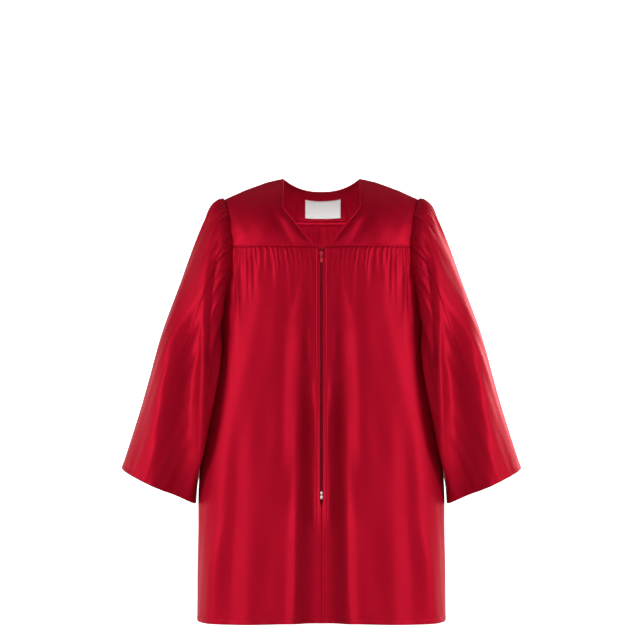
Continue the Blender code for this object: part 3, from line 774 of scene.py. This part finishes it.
class Paint:
    """A material being mixed, and the places that it reads."""

    def __init__(self, name):
        self.material = bpy.data.materials.new(name)
        self.material.use_nodes = True
        self.tree = self.material.node_tree
        self.shader = self.tree.nodes["Principled BSDF"]
        self.place = self.node("ShaderNodeTexCoord", output="Object")
        self.chart = self.node("ShaderNodeTexCoord", output="UV")

    def node(self, kind, settings=None, output=0, **values):
        """Any node: its settings, then its sockets' values or links. Gives back an output."""
        node = self.tree.nodes.new(kind)
        for name, value in (settings or {}).items():
            setattr(node, name, value)
        for name, value in values.items():
            key = int(name[1:]) if name[0] == "_" and name[1:].isdigit() else name.replace("_", " ")
            self.fill(node.inputs[key], value)
        return Socket(self, node.outputs[output])

    def fill(self, socket, value):
        """Links a socket, or sets its value."""
        if isinstance(value, Socket):
            self.tree.links.new(value.socket, socket)
        else:
            socket.default_value = value

    def swell(self, value, low, high):
        """A smooth step from 0 at one value to 1 at another."""
        return self.node("ShaderNodeMapRange", {"interpolation_type": "SMOOTHSTEP"}, Value=value,
                         From_Min=low, From_Max=high)

    def blend(self, share, first, second):
        """A colour between two others."""
        first, second = (end if isinstance(end, Socket) else (*end, 1) for end in (first, second))
        return self.node("ShaderNodeMix", {"data_type": "RGBA"}, output=2, _0=share, _6=first, _7=second)

    def noise(self, scale, detail=2, place=None):
        return self.node("ShaderNodeTexNoise", Vector=place or self.place, Scale=scale, Detail=detail)

    def stretched(self, place, across, along, down):
        """Coordinates scaled differently each way."""
        scale = (across, along, down)
        return self.node("ShaderNodeVectorMath", {"operation": "MULTIPLY"}, _0=place, _1=scale)

    def weave(self, pitch, slant):
        """Fine threads on the cloth's chart, 0 to 1."""
        turned_place = self.node("ShaderNodeMapping", Vector=self.chart, Rotation=(0, 0, slant))
        scale = 0.05 / pitch * 2 * math.pi
        return self.node("ShaderNodeTexWave", {"bands_direction": "X"}, output=1, Vector=turned_place,
                         Scale=scale, Distortion=0.6, Detail=1, Detail_Scale=2)

    def bump(self, height, distance, strength=1, normal=None):
        beneath = {"Normal": normal} if normal else {}
        return self.node("ShaderNodeBump", Height=height, Distance=distance, Strength=strength, **beneath)

    def finish(self, colour, roughness, normal=None, **constants):
        """Feeds the shader, and sets its other sockets."""
        feeds = {"Base_Color": colour, "Roughness": roughness, **constants}
        if normal:
            feeds["Normal"] = normal
        for name, value in feeds.items():
            self.fill(self.shader.inputs[name.replace("_", " ")], value)
        return self.material


def satin(name, bright, deep, shine):
    """Deep red satin: a soft coloured shine, faint threads, slight unevenness."""
    paint = Paint(name)
    cloudy = paint.noise(7, 3)
    threads = paint.weave(0.55 * MM, math.radians(24))
    slubs = paint.noise(1, 2, paint.stretched(paint.place, 900, 900, 60))
    colour = paint.blend(cloudy * 0.7 + threads * 0.3, deep, bright)
    roughness = shine + cloudy * 0.06 + slubs * 0.05
    crumple = paint.noise(42, 2)
    normal = paint.bump(crumple, 0.7 * MM, 0.5)
    normal = paint.bump(threads * 0.7 + slubs * 0.3, 0.03 * MM, 0.6, normal)
    return paint.finish(colour, roughness, normal, Metallic=0.36, Specular_IOR_Level=0.14,
                        Specular_Tint=(1, 0.25, 0.42, 1), Sheen_Weight=0.04, Sheen_Roughness=0.4,
                        Sheen_Tint=(1, 0.3, 0.4, 1))


def grey(level):
    return (level, level, level)


def paper():
    """The white studio paper, plain under the gown and glowing further off."""
    paint = Paint("studio paper")
    tone = paint.blend(paint.noise(0.6, 3), grey(0.8), grey(0.84))
    reach = paint.node("ShaderNodeVectorMath", {"operation": "LENGTH"}, output=1,
                       _0=paint.stretched(paint.place, 1, 1, 0))
    back = paint.node("ShaderNodeSeparateXYZ", output=1, Vector=paint.place)
    distant = paint.blend(paint.swell(back, 0, GLOW_FULL), grey(GLOW_ROUND), grey(1))
    glow = paint.blend(paint.swell(reach, GLOW_START, GLOW_FULL), grey(GLOW_NEAR), distant)
    return paint.finish(tone, 0.85, Emission_Color=glow, Emission_Strength=1, Specular_IOR_Level=0.1)


def plain(name, bright, deep, roughness, grain, depth, **constants):
    """A plain finish, slightly uneven."""
    paint = Paint(name)
    uneven = paint.noise(grain, 3)
    colour = paint.blend(uneven, deep, bright)
    normal = paint.bump(uneven, depth, 0.5)
    return paint.finish(colour, roughness + uneven * 0.1, normal, **constants)


def woven(name, bright, deep, roughness, pitch, depth):
    """Plain woven tape or label: ribs across, threads down."""
    paint = Paint(name)
    ribs = paint.weave(pitch, math.radians(90))
    threads = paint.weave(pitch, 0)
    cloudy = paint.noise(60, 2)
    pattern = ribs * 0.5 + threads * 0.3 + cloudy * 0.2
    return paint.finish(paint.blend(pattern, deep, bright), roughness + cloudy * 0.1,
                        paint.bump(pattern, depth, 0.6), Specular_IOR_Level=0.25)


SATIN = satin("red satin", (0.46, 0.0032, 0.02), (0.4, 0.0022, 0.016), 0.43)
THREAD_RED = plain("red thread", (0.4, 0.004, 0.018), (0.3, 0.002, 0.012), 0.55, 900, 0.05 * MM)
THREAD_WHITE = plain("white thread", (0.8, 0.8, 0.79), (0.68, 0.68, 0.67), 0.6, 900, 0.05 * MM)
WHITE_WEAVE = woven("white weave", (0.88, 0.88, 0.87), (0.78, 0.78, 0.77), 0.62, 0.45 * MM, 0.05 * MM)
TAPE_WEAVE = woven("dark red tape", (0.4, 0.004, 0.02), (0.32, 0.003, 0.015), 0.85, 0.6 * MM, 0.08 * MM)
TEETH = plain("dark red plastic", (0.44, 0.005, 0.024), (0.36, 0.004, 0.018), 0.5, 600, 0.03 * MM,
              Specular_IOR_Level=0.2)
LACQUER = plain("red lacquer", (0.5, 0.008, 0.03), (0.44, 0.006, 0.024), 0.44, 400, 0.02 * MM,
                Coat_Weight=0.08, Coat_Roughness=0.3, Specular_IOR_Level=0.3)
SILVER = plain("bright metal", (0.8, 0.8, 0.81), (0.68, 0.68, 0.7), 0.24, 500, 0.02 * MM,
               Metallic=1)


def ring_faces(rows, sides, first=0):
    """Faces that join rings of points, each ring to the next."""
    faces = []
    for row in range(rows - 1):
        for i in range(sides):
            a = first + row * sides + i
            b = first + row * sides + (i + 1) % sides
            faces.append((a, b, b + sides, a + sides))
    return faces


def turns_of(sides):
    return [2 * math.pi * i / sides for i in range(sides)]


# A stitch's rings: place along it, girth and lift, as shares of its length and of the thread
STITCH_RINGS = ((-0.5, 0, -0.35), (-0.34, 0.8, 0.1), (0, 1, 0.3), (0.34, 0.8, 0.1), (0.5, 0, -0.35))
STITCH_SIDES = 5


def stitches(name, path, outward, material=THREAD_RED, slot="satin", pitch=STITCH_PITCH, size=STITCH_LENGTH,
             thread=THREAD):
    """A row of stitches on a path of points, half sunk in the cloth."""
    run = run_along(path)
    ends = np.arange(pitch * 0.5, run[-1] - pitch * 0.25, pitch)
    middle = between(path, run, ends)
    along = unit(between(path, run, ends + size / 2) - between(path, run, ends - size / 2))
    up = unit(between(outward, run, ends))
    side = unit(np.cross(along, up))
    sides = STITCH_SIDES
    places = []
    for share, girth, lift in STITCH_RINGS:
        for swing in turns_of(sides if girth else 1):
            around = side * math.cos(swing) + up * math.sin(swing)
            places.append(middle + along * size * share + (up * lift + around * 0.5 * girth) * thread)
    places = np.stack(places, 1)
    each = places.shape[1]
    last = 1 + 2 * sides
    faces = ring_faces(3, sides, 1)
    faces += [(0, 1 + (i + 1) % sides, 1 + i) for i in range(sides)]
    faces += [(each - 1, last + i, last + (i + 1) % sides) for i in range(sides)]
    faces = [tuple(corner + each * k for corner in face) for k in range(len(middle)) for face in faces]
    return dress(solid(name, places.reshape(-1, 3), faces), material, slot)


def sewn(node, points, wall, flat, area, rests_on, closed=False, mirror=False):
    """One piece of cloth and the solid it stands for; the cut it was sewn from is not used."""
    piece = shell(f"cloth_{node}", points, wall, closed, mirror)
    dress(piece, SATIN, "satin", node)


def make_cloth():
    """All the cloth pieces. Gives back the surfaces that carry stitches."""
    u, front, wall = make_front()
    front_full = with_allowance_up(u, front, wall, front_yoke)
    yoke = make_front_yoke()
    sleeve = make_sleeve()
    for side, mirror in SIDES:
        held = f"yoke_front_{side}"
        sewn(f"front_{side}", *front_full, (0.33, 0.775), 0.232, [held], mirror=mirror)
        sewn(f"yoke_front_{side}", *yoke, (0.185, 0.165), 0.0235, ["shoulders"], mirror=mirror)
        sewn(f"sleeve_{side}", *sleeve, (0.56, 0.61), 0.275, [held, "yoke_back"], True, mirror)
    u, back, wall = make_back()
    sewn("back", *with_allowance_up(u, back, wall, back_yoke), (0.69, 0.825), 0.495, ["yoke_back"])
    sewn("yoke_back", *make_back_yoke(), (0.42, 0.125), 0.0445, ["shoulders"])
    return front, sleeve[0], back


def make_label():
    x = knots((LABEL_SIDES[1], 60), start=LABEL_SIDES[0])
    v = knots((LABEL_EDGES[1], 30), start=LABEL_EDGES[0])
    tries = np.linspace(0, NECK_SHARE, 60)
    reach = [back_yoke(tries, np.full_like(tries, level))[:, 0] for level in v]
    u = np.stack([np.copysign(np.interp(np.abs(x), far, tries), x) for far in reach])
    v = np.broadcast_to(v[:, None], u.shape)
    inside = inward(back_yoke, u, v)
    points = back_yoke(u, v) + inside * 1.8 * MM
    points += inside * ripples(points[..., 0], points[..., 2], 61, 0.03, 1, 0.12 * MM)[..., None]
    piece = dress(shell("woven_label", points, 0.45 * MM), WHITE_WEAVE, "label", "label")
    for edge, row in (("upper", 2), ("lower", -3)):
        path = points[row] + inside[row] * 0.25 * MM
        stitches(f"label_stitches_{edge}", path, inside[row], THREAD_WHITE, "label", 2.4 * MM, 1.8 * MM,
                 0.35 * MM)


def tube(path, radius, sides):
    """Points and faces of a round wire along a path."""
    along = unit(np.gradient(path, axis=0))
    side = unit(np.cross(along, np.array((0.31, 0.95, 0))))
    up = np.cross(side, along)
    rings = [path + (side * math.cos(swing) + up * math.sin(swing)) * radius for swing in turns_of(sides)]
    return np.stack(rings, 1).reshape(-1, 3), ring_faces(len(path), sides)


ZIP_TOP = -0.1425
TAPE_END = -0.653
ZIP_INSET = 0.0018
CHAIN_END = -0.6345
COIL_PITCH = 1.45 * MM
COIL_WIRE = 0.34 * MM
COIL_HALF_WIDTH = 1.75 * MM
COIL_HALF_DEPTH = 0.8 * MM
COIL_MIDDLE = 0.85 * MM
COIL_OVERLAP = 0.15 * MM
COIL_FORWARD = 0.9 * MM
COIL_STEPS = 8

# The slider and its tab, in millimetres: plates, then the tab's outline and window as quarter circles
PLATE = 1.1
PLATE_STEP = 4.5
PLATE_BEHIND = 3
TAB_PIVOT = Vector((0, -0.10717, -0.1564))
TAB_LEAN = math.radians(7)
TAB_HALF_WALL = 0.5
TAB_OUTLINE = ((1.4, -0.5, 1.1, 0), (-1.4, -0.5, 1.1, 90), (-1, -14.4, 1.6, 180), (1, -14.4, 1.6, 270))
TAB_WINDOW = ((0.5, -1.2, 0.75, 0), (-0.5, -1.2, 0.75, 90), (-0.5, -5.1, 0.75, 180), (0.5, -5.1, 0.75, 270))

# The stop's two lobes, in millimetres: height and radius
STOP = ((-8.4, 0), (-8.2, 1.2), (-7.2, 2), (-5.4, 2.5), (-3.2, 2.5), (-1.4, 2), (-0.4, 1.35),
        (0.2, 1.15), (1, 1.35), (2.2, 1.9), (4, 2.25), (5.8, 2.2), (7.2, 1.7), (8.1, 1), (8.4, 0))
STOP_SIDES = 16
STOP_FLATNESS = 0.75
STOP_FORWARD = 0.8


def slit_row(height):
    """A front panel's row at this height beside the slit."""
    return ((FRONT_TOP - height) / (FRONT_TOP - HEM_CENTRE)) ** (1 / ROW_POWER)


def zip_line(height):
    """How far forward the zip lies, behind the front's edge."""
    v = slit_row(height)
    return front_panel(np.zeros_like(v), v)[..., 1] + ZIP_INSET


def make_zip():
    """The two tapes, and on each its row of teeth: a coil, flat where it meets the other."""
    heights = np.linspace(ZIP_TOP, TAPE_END, 180)
    beside = np.array((0.25, 1.2, 2.2, 3.2, 4.4, 6, 7.6, 9.2, 10.8, 12.2, 13.6)) * MM
    flat_y = zip_line(heights)
    tape = stacked(beside[None, :], flat_y[:, None], heights[:, None])
    for column, x in enumerate(beside):
        near = np.maximum(x - read(ZIP_EDGE, 1, heights), 0)
        u = near / read(BODY, 1, heights) / FRONT_CORNER
        cloth_y = front_panel(u, slit_row(heights))[..., 1] + ZIP_INSET
        tape[:, column, 1] = np.maximum(cloth_y, flat_y) + 0.5 * MM
    turns = np.arange(int((ZIP_TOP - CHAIN_END) / COIL_PITCH) * COIL_STEPS + 1) / COIL_STEPS
    swing = turns * 2 * math.pi
    x = np.maximum(COIL_MIDDLE - COIL_HALF_WIDTH * np.cos(swing), -COIL_OVERLAP)
    for side, mirror in SIDES:
        piece = shell(f"zip_tape_woven_{side}", tape, 0.45 * MM, mirror=mirror)
        dress(piece, TAPE_WEAVE, "zip_tape", f"zip_tape_{side}")
        height = ZIP_TOP - 0.002 - turns * COIL_PITCH - (0.5 * COIL_PITCH if mirror else 0)
        y = zip_line(height) - COIL_FORWARD + COIL_HALF_DEPTH * np.sin(swing)
        places, faces = tube(stacked(-x if mirror else x, y, height), COIL_WIRE, 4)
        dress(solid(f"zip_coil_{side}", places, faces), TEETH, "zip_teeth", f"zip_teeth_{side}")


def round_edges(piece, width, segments=3, steeper_than=None):
    """Rounds a piece's edges, all or only those steeper than an angle."""
    edge = piece.modifiers.new("rounding", "BEVEL")
    edge.width = width * MM
    edge.segments = segments
    edge.limit_method = "ANGLE" if steeper_than else "NONE"
    if steeper_than:
        edge.angle_limit = math.radians(steeper_than)


def rounded_box(name, low, high, bevel):
    """A box between two corners, in millimetres, with rounded edges."""
    low, high = np.asarray(low) * MM, np.asarray(high) * MM
    corners = [(x, y, z) for x in (low[0], high[0]) for y in (low[1], high[1]) for z in (low[2], high[2])]
    faces = [(0, 1, 3, 2), (4, 6, 7, 5), (0, 4, 5, 1), (2, 3, 7, 6), (0, 2, 6, 4), (1, 5, 7, 3)]
    piece = solid(name, corners, faces)
    round_edges(piece, bevel)
    return piece


def round_corners(corners, steps=6):
    """An outline of quarter circles: each one's middle, radius and starting angle."""
    outline = []
    for x, z, radius, start in corners:
        for i in range(steps + 1):
            swing = math.radians(start + 90 * i / steps)
            outline.append((x + radius * math.cos(swing), z + radius * math.sin(swing)))
    return outline


def make_slider():
    """The slider: two plates, the post between them and the bridge that holds the tab."""
    low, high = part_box("zip_slider")
    centre = Vector((0, (low.y + high.y) / 2, (low.z + high.z) / 2))
    front = (low.y - centre.y) / MM
    top = (high.z - centre.z) / MM
    plate = front + PLATE_BEHIND
    outline = ((-3.5, top), (3.5, top), (3.3, -1), (2.3, 0.2 - top), (-2.3, 0.2 - top), (-3.3, -1))
    faces = [(0, 1, 2, 3, 4, 5), (11, 10, 9, 8, 7, 6)]
    faces += [(i, i + 6, (i + 1) % 6 + 6, (i + 1) % 6) for i in range(6)]
    parts = []
    for label, step in (("front", 0), ("back", PLATE_STEP)):
        places = np.array([(x, depth + step, z) for depth in (plate, plate + PLATE) for x, z in outline])
        parts.append(solid(f"slider_plate_{label}", places * MM, faces))
        round_edges(parts[-1], 0.45, steeper_than=30)
    post = (-0.9, plate + 0.4, top - 2.4), (0.9, plate + 5, top - 0.3)
    parts.append(rounded_box("slider_post", *post, 0.25))
    half_bridge = ((plate + 0.2, 3.2), (front + 0.9, 3.1), (front + 0.45, 2.4))
    bridge = [*half_bridge, (front + 0.4, 0), *((y, -z) for y, z in reversed(half_bridge))]
    path = between(np.array([(0, y, z) for y, z in bridge]) * MM, range(7), np.linspace(0, 6, 25))
    parts.append(solid("slider_bridge", *tube(path, 0.52 * MM, 8)))
    for piece in parts:
        piece.data.transform(Matrix.Translation(centre))
        dress(piece, LACQUER, "zip_slider")
    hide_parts("zip_slider")


def make_tab():
    """The pull tab: a rounded plate with a window over the bridge and a raised grip below."""
    outline = round_corners(TAB_OUTLINE)
    window = round_corners(TAB_WINDOW)
    count = len(outline)
    places = [(x * MM, depth * MM, z * MM) for depth in (-TAB_HALF_WALL, TAB_HALF_WALL)
              for ring in (outline, window) for x, z in ring]
    faces = []
    for i in range(count):
        j = (i + 1) % count
        faces.append((i, j, count + j, count + i))
        faces.append((2 * count + i, 3 * count + i, 3 * count + j, 2 * count + j))
        faces.append((i, 2 * count + i, 2 * count + j, j))
        faces.append((count + i, count + j, 3 * count + j, 3 * count + i))
    plate = solid("pull_tab_plate", places, faces)
    round_edges(plate, 0.22, 2, steeper_than=50)
    grip = rounded_box("pull_tab_grip", (-1.5, -0.72, -14.6), (1.5, 0.72, -7.2), 0.5)
    for part in (plate, grip):
        part.data.transform(Matrix.Translation(TAB_PIVOT) @ Matrix.Rotation(-TAB_LEAN, 4, "X"))
        dress(part, LACQUER, "zip_slider", body="pull_tab")
    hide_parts("zip_pull_tab")


def make_stop():
    """The silver stop at the foot of the zip: two rounded lobes."""
    low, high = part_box("zip_bottom_stop")
    centre = (Vector(low) + Vector(high)) / 2
    rings = [(radius * math.cos(swing), radius * STOP_FLATNESS * math.sin(swing) - STOP_FORWARD, z)
             for z, radius in STOP for swing in turns_of(STOP_SIDES)]
    faces = [(a, d, c, b) for a, b, c, d in ring_faces(len(STOP), STOP_SIDES)]
    piece = solid("zip_stop_lobes", np.array(rings) * MM + np.array(centre), faces)
    dress(piece, SILVER, "zip_stop", "zip_bottom_stop")


def hem_row(points, closed=False):
    """Where a hem's stitches run, and the way the cloth faces there."""
    down = run_along(points)
    left = down[-1] - HEM_TURN
    columns = np.arange(points.shape[1])
    row = np.array([np.searchsorted(down[:, i], left[i]) for i in columns])
    row = np.clip(row, 1, len(points) - 1)
    share = ((left - down[row - 1, columns]) / (down[row, columns] - down[row - 1, columns]))[:, None]
    normal = square_to(points, closed)[row, columns]
    path = points[row - 1, columns] * (1 - share) + points[row, columns] * share
    return path + normal * STITCH_LIFT, normal


def make_stitching(front, sleeve, back):
    """The rows of stitches: hems, beside the zip, and sleeve hems."""
    hem, hem_normal = hem_row(front)
    cuff, cuff_normal = hem_row(sleeve, True)
    cuff, cuff_normal = (np.concatenate((ring, ring[:1])) for ring in (cuff, cuff_normal))
    normal = square_to(front)[4:-8, PLACKET_COLUMN]
    placket = front[4:-8, PLACKET_COLUMN] + normal * STITCH_LIFT
    for side, mirror in SIDES:
        flip = np.array((-1 if mirror else 1, 1, 1))
        stitches(f"hem_stitches_front_{side}", hem[3:-2] * flip, hem_normal[3:-2] * flip)
        stitches(f"placket_stitches_{side}", placket * flip, normal * flip)
        stitches(f"hem_stitches_sleeve_{side}", cuff * flip, cuff_normal * flip)
    hem, hem_normal = hem_row(back)
    stitches("hem_stitches_back", hem[2:-2], hem_normal[2:-2])


def area_light(name, place, target, width, height, power):
    """A soft box."""
    data = bpy.data.lights.new(name, "AREA")
    data.shape = "RECTANGLE"
    data.size = width
    data.size_y = height
    data.energy = power
    lamp = put(name, data, place)
    lamp.rotation_euler = (Vector(target) - Vector(place)).to_track_quat("-Z", "Y").to_euler()
    return lamp


def light_only(lamp, pieces):
    """Keeps a lamp's light on these pieces."""
    lit = bpy.data.collections.new(f"lit by {lamp.name}")
    for piece in pieces:
        lit.objects.link(piece)
    lamp.light_linking.receiver_collection = lit


FLOOR = -1.3
BEND = 1.2
WALL_REACH = 11
WALL_TOP = 2
WALL_SIDES = 96
GLOW_START = 1.6
GLOW_FULL = 4.2
GLOW_NEAR = 0.04
GLOW_ROUND = 0.38


def make_studio():
    """A round white sweep, a key for each half of the gown, softer lamps and the camera."""
    profile = [(0, FLOOR), (WALL_REACH - BEND, FLOOR)]
    profile += [(WALL_REACH - BEND + BEND * math.sin(t), FLOOR + BEND * (1 - math.cos(t)))
                for t in np.linspace(0.1, QUARTER, 10)]
    profile += [(WALL_REACH, WALL_TOP)]
    places = [(reach * math.cos(turn), reach * math.sin(turn), z)
              for reach, z in profile for turn in turns_of(WALL_SIDES)]
    sweep = solid("studio_sweep", places, ring_faces(len(profile), WALL_SIDES))
    sweep.data.materials.append(paper())
    target = (0, 0, -0.42)
    pieces = [piece for piece in bpy.context.scene.objects if piece.type == "MESH"]
    for side, other, sign in (("left", "right", 1), ("right", "left", -1)):
        key = area_light(f"key_{side}", (sign * 3.5, -2.2, 0.5), target, 1.3, 2.4, 88)
        light_only(key, [piece for piece in pieces if not piece.name.endswith(other)])
        area_light(f"edge_{side}", (sign * 2.6, 0.5, 0.3), target, 0.8, 2.4, 7)
    area_light("ahead", (0, -6.5, 0.9), target, 1.8, 1.8, 24)
    neck = area_light("neck", (0, -2.2, 0.7), (0, 0.03, -0.1), 0.5, 0.5, 52)
    inside = ("cloth_back", "cloth_yoke_back")
    inside = [piece for piece in pieces if piece.name in inside or "label" in piece.name]
    light_only(neck, inside)
    area_light("behind", (2.4, 3.2, 0.7), target, 1.4, 1.8, 60)
    area_light("above", (0, 0.9, 2.2), (0, 0, -0.1), 2.4, 1, 6)
    world = bpy.data.worlds.new("studio")
    world.use_nodes = True
    sky = world.node_tree.nodes["Background"].inputs
    sky["Color"].default_value = (1, 1, 1, 1)
    sky["Strength"].default_value = 0.05
    bpy.context.scene.world = world
    data = bpy.data.cameras.new("camera")
    data.sensor_width = 36
    data.lens = 219.5
    data.clip_end = 100
    camera = put("camera", data, (-0.0029, -8, -0.289))
    camera.rotation_euler = (QUARTER, 0, 0)
    bpy.context.scene.camera = camera
    bpy.context.scene.view_settings.view_transform = "Standard"


front_cloth, sleeve_cloth, back_cloth = make_cloth()
make_label()
make_zip()
make_slider()
make_tab()
make_stop()
make_stitching(front_cloth, sleeve_cloth, back_cloth)
make_studio()
